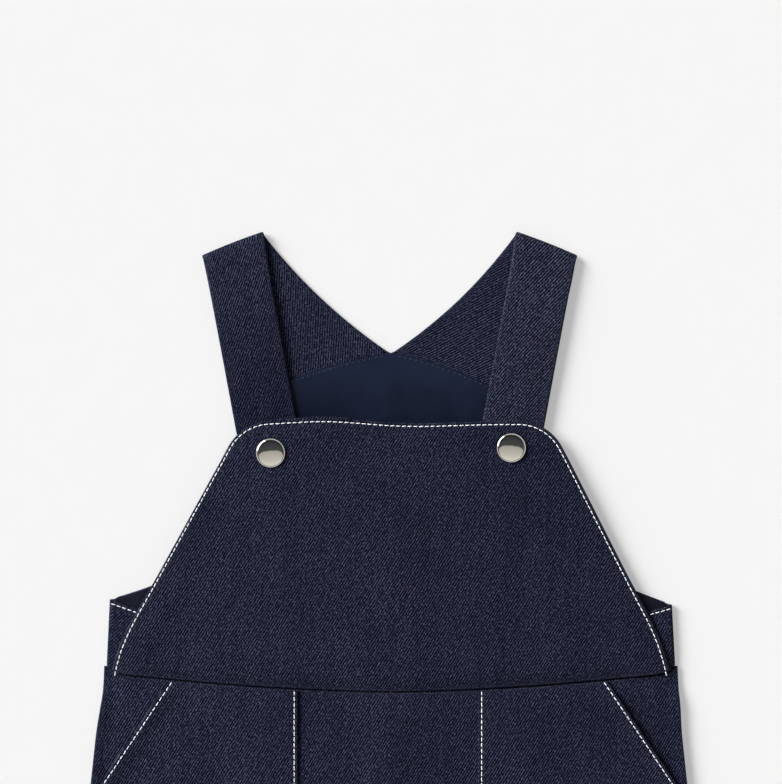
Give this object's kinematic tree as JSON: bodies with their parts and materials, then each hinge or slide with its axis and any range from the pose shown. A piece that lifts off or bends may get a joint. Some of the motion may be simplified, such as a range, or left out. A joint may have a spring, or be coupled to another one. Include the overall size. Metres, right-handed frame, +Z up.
{
  "type": "child's bib overalls",
  "caption": "Child's denim bib overalls laid flat, with wide straps folded to the front under the bib's snap caps and patch pockets with slanted openings.",
  "frame": {"origin": "on the floor, under the middle of the garment's overall length and width", "axes": "+X to the garment's left side as seen in the picture's right, +Y up the body from hem to shoulder, +Z up off the floor, out of the garment's front"},
  "size_m": [0.3068, 0.64, 0.0093],
  "materials": {
    "denim": "dark indigo cotton twill, matt",
    "lining": "plain navy cotton, smooth",
    "metal": "polished nickel"
  },
  "bodies": {
    "root": {"bib": "denim", "back_bodice": "denim", "back_lining": "lining", "trouser_front": "denim", "strap_left": "denim", "strap_right": "denim", "side_left": "denim", "side_right": "denim", "trouser_back_left": "denim", "trouser_back_right": "denim", "pocket_left": "denim", "pocket_right": "denim", "button_left": "metal", "button_right": "metal"}
  },
  "joints": []
}
